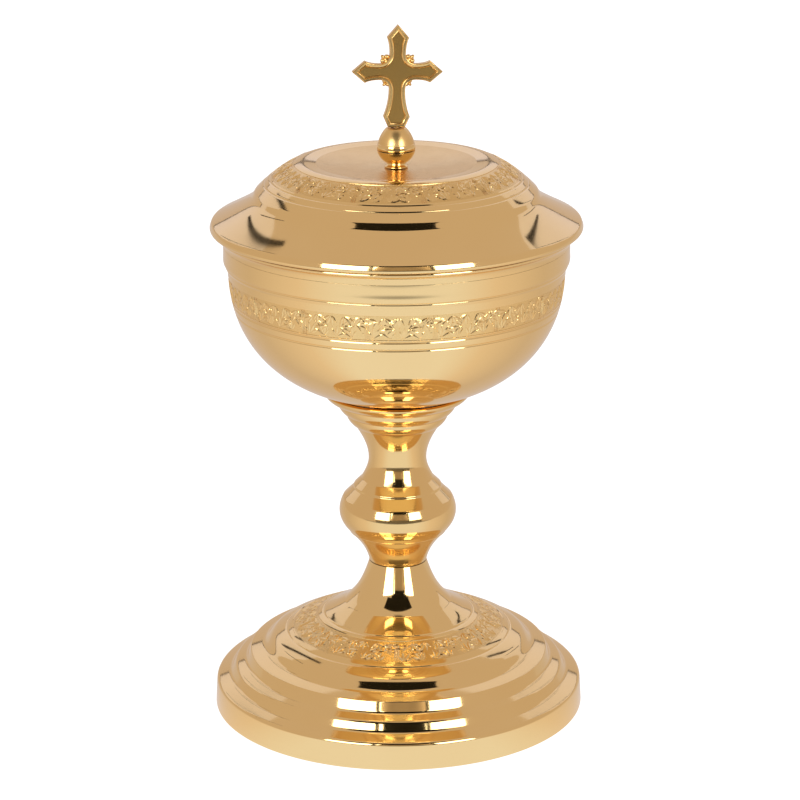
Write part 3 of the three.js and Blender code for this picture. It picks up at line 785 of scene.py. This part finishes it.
def metalFinish(name, finish):
    material, tree = emptyMaterial(name)
    place = addNode(tree, "ShaderNodeTexCoord")
    patches = addNode(tree, "ShaderNodeTexNoise", inputs={"Scale": 1 / (finish["patch"] * mm), "Detail": 2.0},
                      links={"Vector": (place, "Object")})
    colour = addNode(tree, "ShaderNodeMix", {"data_type": "RGBA"}, links={"Factor": (patches, "Fac")})
    colour.inputs["A"].default_value = linearColour(finish["pale"])
    colour.inputs["B"].default_value = linearColour(finish["warm"])
    haze = addNode(tree, "ShaderNodeMapRange", links={"Value": (patches, "Fac")})
    haze.inputs["To Min"].default_value, haze.inputs["To Max"].default_value = finish["roughness"]
    pattern = place, "Object"
    if finish["lay"] == "round":
        # distance from the axis and height, so the lines run round on walls and on flat treads alike
        level = addNode(tree, "ShaderNodeMapping", inputs={"Scale": (1, 1, 0)}, links={"Vector": pattern})
        radius = addNode(tree, "ShaderNodeVectorMath", {"operation": "LENGTH"}, links={0: (level, "Vector")})
        height = addNode(tree, "ShaderNodeSeparateXYZ", links={"Vector": pattern})
        lathe = addNode(tree, "ShaderNodeCombineXYZ", links={"X": (radius, "Value"), "Y": (height, "Z")})
        pattern = lathe, "Vector"
    scale = 1 / (finish["grain"] * mm)
    if finish["lay"] == "dots":
        marks = addNode(tree, "ShaderNodeTexVoronoi", inputs={"Scale": scale}, links={"Vector": pattern})
        grain = marks, "Distance"
    else:
        marks = addNode(tree, "ShaderNodeTexNoise", inputs={"Scale": scale, "Detail": 1.0},
                        links={"Vector": pattern})
        grain = marks, "Fac"
    bump = addNode(tree, "ShaderNodeBump", links={"Height": grain}, inputs={
        "Strength": bumpStrength[finish["lay"]], "Distance": finish["depth"] * mm})
    shader = addNode(tree, "ShaderNodeBsdfPrincipled", inputs={"Metallic": 1.0}, links={
        "Base Color": (colour, "Result"), "Roughness": (haze, "Result"), "Normal": (bump, "Normal")})
    shader.inputs["Base Color"].default_value = linearColour(finish["pale"])
    addNode(tree, "ShaderNodeOutputMaterial", links={"Surface": (shader, "BSDF")})
    return material


def finishFaces(piece, finishName, test):
    # a second finish on the faces that pass the test
    piece.data.materials.append(metals[finishName])
    for face in piece.data.polygons:
        face.material_index = 1 if test(face) else 0


def isGround(face, low, high, outward):
    # between the ends of a band, on the side that looks outwards
    middle = face.center
    away = max(math.hypot(middle.x, middle.y), mm)
    facing = (face.normal.x * middle.x + face.normal.y * middle.y) / away * outward[0] + face.normal.z * outward[1]
    return low[1] * mm < middle.z < high[1] * mm and facing > relief["groundFacing"]


metals = {name: metalFinish(name, finish) for name, finish in finishes.items()}
wornBy = {
    "polished_gilt_brass_turned": ("knop_stem_turned", "knob_base_turned"),
    "satin_gilt_brass_turned": ("knob_cap_turned",),
    "satin_gilt_brass_cast": ("cross_cast",),
    "chased_gilt_brass": ("cup_frieze_chased", "lid_frieze_chased", "foot_frieze_chased"),
    "plain_brass_turned": ("cup_boss", "cross_stud_threaded", "finial_washer_pressed", "finial_lock_washer",
                           "finial_nut_chamfered"),
    "zinc_plated_steel": ("tie_rod_threaded", "tie_rod_nut_chamfered", "stem_washer_pressed", "spring_washer"),
}
finishOf = {wearer: name for name, wearers in wornBy.items() for wearer in wearers}
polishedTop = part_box("knob_cap")[0].z + knob["polished"] * mm
fieldArea = cross["fieldArea"] * mm * mm
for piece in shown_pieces():
    piece.data.materials.clear()
    piece.data.materials.append(metals[finishOf.get(piece.name, "polished_gilt_brass_spun")])
    if piece.name in grounds:
        finishFaces(piece, "matted_gilt_brass_punched", lambda face: isGround(face, *grounds[piece.name]))
    if piece.name == "cross_cast":
        finishFaces(piece, "darker_gilt_brass_field",
                    lambda face: face.area > fieldArea and abs(face.normal.y) > faceOn)
    if piece.name == "knob_cap_turned":
        finishFaces(piece, "polished_gilt_brass_turned", lambda face: face.center.z < polishedTop)
print("finishes laid on")


# The camera stands where the photograph was taken from; the room is what the gilding reflects.
camera = {
    "azimuth": -8.0,            # degrees round the object, towards +X
    "distance": 975.0,          # mm from the axis, level
    "height": 414.1,
    "pitch": 17.34,             # degrees down
    "roll": -0.25,
    "lens": 133.47,
    "sensor": 36,
    "shift": 0.0034,
}

room = {
    "floorSize": 6.0,
    "floorLevel": -0.0002,      # m, just under the foot
    "floorColour": "#8A8A8A",
    "floorGlow": 3.9,           # the floor is lit through from below, so shadows stay faint
    "airColour": "#D0C1B9",
    "airGlow": 1.0,
    # painted reflection of the table: a glowing sheet whose tones paint a pool of light that falls off from the
    # front to the back, and it ends in front
    "tableLevel": -0.0001,
    "tableLightPoolTones": ((-1.0, "#CBC0BC"), (-0.34, "#CBC0BC"), (0.42, "#E2D8D7"), (0.82, "#EAEEFD")),
    "tableGlow": 1.1,
    "tableEdge": (0.8, 0.92),   # m in front of the object, where the table's front edge blurs out
    "beyondTable": 0.3,
    "panelCentre": 0.11,        # m above the floor, what the panels face
    # name, azimuth from the camera, elevation, distance, width, height (m), tilt, colour, glow
    "panels": [
        ("softbox_left", -29.5, 21.5, 1.9, 1.05, 0.92, 0, "#FFFFFF", 4.0),
        ("softbox_right", 34.0, 21.5, 1.9, 0.84, 0.92, 0, "#FFFFFF", 4.0),
        ("gap_front", 3.0, 16.5, 2.05, 1.5, 1.03, 0, "#A59683", 0.0),
        ("flag_front", 3.0, 37.0, 2.02, 1.35, 0.5, 0, "#1E1C18", 0.0),
        ("border_left", -15.5, 20.0, 1.88, 0.09, 1.1, 0, "#4A463E", 0.0),
        ("border_right", 21.5, 20.0, 1.88, 0.09, 1.1, 0, "#4A463E", 0.0),
        ("strip_low", 2.0, 2.5, 1.95, 3.9, 0.4, 0, "#6E6A64", 0.0),
        ("flag_top", -1.0, 54.0, 1.85, 1.75, 0.8, 0, "#1E1C18", 0.0),
        ("stand_left", -149.0, 36.0, 1.9, 0.045, 0.9, -12, "#14120F", 0.0),
        ("boom_left", -131.0, 34.0, 1.9, 0.045, 0.75, -55, "#14120F", 0.0),
        ("stand_right", 147.5, 34.0, 1.9, 0.05, 0.55, 0, "#14120F", 0.0),
        ("boom_right", 137.5, 24.0, 1.9, 0.045, 0.6, 25, "#14120F", 0.0),
        ("wall_behind", 180.0, 31.8, 1.95, 4.6, 1.15, 0, "#9F9CA7", 1.3),
        ("wall_edge", 180.0, 15.4, 1.88, 4.6, 0.03, 0, "#2A2723", 0.0),
    ],
}
cameraTurn = math.radians(camera["azimuth"])


def plainMaterial(name, colour, glow=0.0):
    material, tree = emptyMaterial(name)
    shader = addNode(tree, "ShaderNodeBsdfPrincipled", inputs={
        "Base Color": linearColour(colour), "Roughness": 0.9, "Specular IOR Level": 0.0,
        "Emission Color": linearColour(colour), "Emission Strength": glow})
    addNode(tree, "ShaderNodeOutputMaterial", links={"Surface": (shader, "BSDF")})
    return material


def paintedTableLightMaterial(name):
    # painted pool of light on the table: its tone goes by the side of the object it lies on, and its glow ends
    # with the table
    material, tree = emptyMaterial(name)
    ahead = Vector((math.sin(cameraTurn), -math.cos(cameraTurn), 0))
    place = addNode(tree, "ShaderNodeTexCoord")
    toward = addNode(tree, "ShaderNodeVectorMath", {"operation": "NORMALIZE"}, links={0: (place, "Object")})
    facing = addNode(tree, "ShaderNodeVectorMath", {"operation": "DOT_PRODUCT"}, {1: ahead},
                     {0: (toward, "Vector")})
    share = addNode(tree, "ShaderNodeMapRange", inputs={"From Min": -1.0}, links={"Value": (facing, "Value")})
    tones = addNode(tree, "ShaderNodeValToRGB", links={"Fac": (share, "Result")})
    ramp = tones.color_ramp.elements
    while len(ramp) < len(room["tableLightPoolTones"]):
        ramp.new(0.5)
    for stop, (cosine, code) in zip(ramp, room["tableLightPoolTones"]):
        stop.position = (cosine + 1) / 2
        stop.color = linearColour(code)
    distance = addNode(tree, "ShaderNodeVectorMath", {"operation": "DOT_PRODUCT"}, {1: ahead},
                       {0: (place, "Object")})
    edge = addNode(tree, "ShaderNodeMapRange", links={"Value": (distance, "Value")}, inputs={
        "From Min": room["tableEdge"][0], "From Max": room["tableEdge"][1],
        "To Min": room["tableGlow"], "To Max": room["tableGlow"] * room["beyondTable"]})
    glow = addNode(tree, "ShaderNodeEmission", links={"Color": (tones, "Color"), "Strength": (edge, "Result")})
    addNode(tree, "ShaderNodeOutputMaterial", links={"Surface": (glow, "Emission")})
    return material


def addPanel(name, azimuth, elevation, distance, width, height, tilt, colour, glow):
    # a flat panel that faces the object and that only its reflections show
    clearSelection()
    a, e = math.radians(azimuth + camera["azimuth"]), math.radians(elevation)
    back = Vector((math.sin(a) * math.cos(e), -math.cos(a) * math.cos(e), math.sin(e)))
    bpy.ops.mesh.primitive_plane_add(size=1, location=Vector((0, 0, room["panelCentre"])) + back * distance)
    panel = bpy.context.object
    panel.scale = (width, height, 1)
    panel.rotation_mode = "QUATERNION"
    tilted = Matrix.Rotation(math.radians(tilt), 3, "Z").to_quaternion()
    panel.rotation_quaternion = back.to_track_quat("Z", "Y") @ tilted
    panel.visible_camera = False
    panel.visible_shadow = False
    panel.name = name
    panel.data.materials.append(plainMaterial(name + "_face", colour, glow))


clearSelection()
bpy.ops.mesh.primitive_plane_add(size=room["floorSize"], location=(0, 0, room["floorLevel"]))
floor = bpy.context.object
floor.name = "floor"
floor.data.materials.append(plainMaterial("white_floor", room["floorColour"], room["floorGlow"]))

# The table as the gilding reflects it, a glowing sheet with a painted pool of light; the camera and the soft light
# see the floor under it.
clearSelection()
bpy.ops.mesh.primitive_plane_add(size=room["floorSize"], location=(0, 0, room["tableLevel"]))
table = bpy.context.object
table.name = "reflected_table"
table.data.materials.append(paintedTableLightMaterial("painted_light_pool_on_table"))
table.visible_camera = False
table.visible_diffuse = False
table.visible_shadow = False

world = bpy.data.worlds.new("studio")
bpy.context.scene.world = world
world.use_nodes = True
air = world.node_tree.nodes["Background"]
air.inputs["Color"].default_value = linearColour(room["airColour"])
air.inputs["Strength"].default_value = room["airGlow"]
bpy.context.scene.view_settings.view_transform = "Standard"

for row in room["panels"]:
    addPanel(*row)
print("room built")

bpy.ops.object.camera_add()
cam = bpy.context.object
cam.name = "camera"
cam.location = (math.sin(cameraTurn) * camera["distance"] * mm, -math.cos(cameraTurn) * camera["distance"] * mm,
                camera["height"] * mm)
cam.rotation_mode = "QUATERNION"
cam.rotation_quaternion = (Matrix.Rotation(cameraTurn, 3, "Z")
                           @ Matrix.Rotation(math.radians(90 - camera["pitch"]), 3, "X")
                           @ Matrix.Rotation(math.radians(camera["roll"]), 3, "Z")).to_quaternion()
cam.data.lens = camera["lens"]
cam.data.sensor_width = camera["sensor"]
cam.data.shift_x = camera["shift"]
bpy.context.scene.camera = cam
print("camera placed")
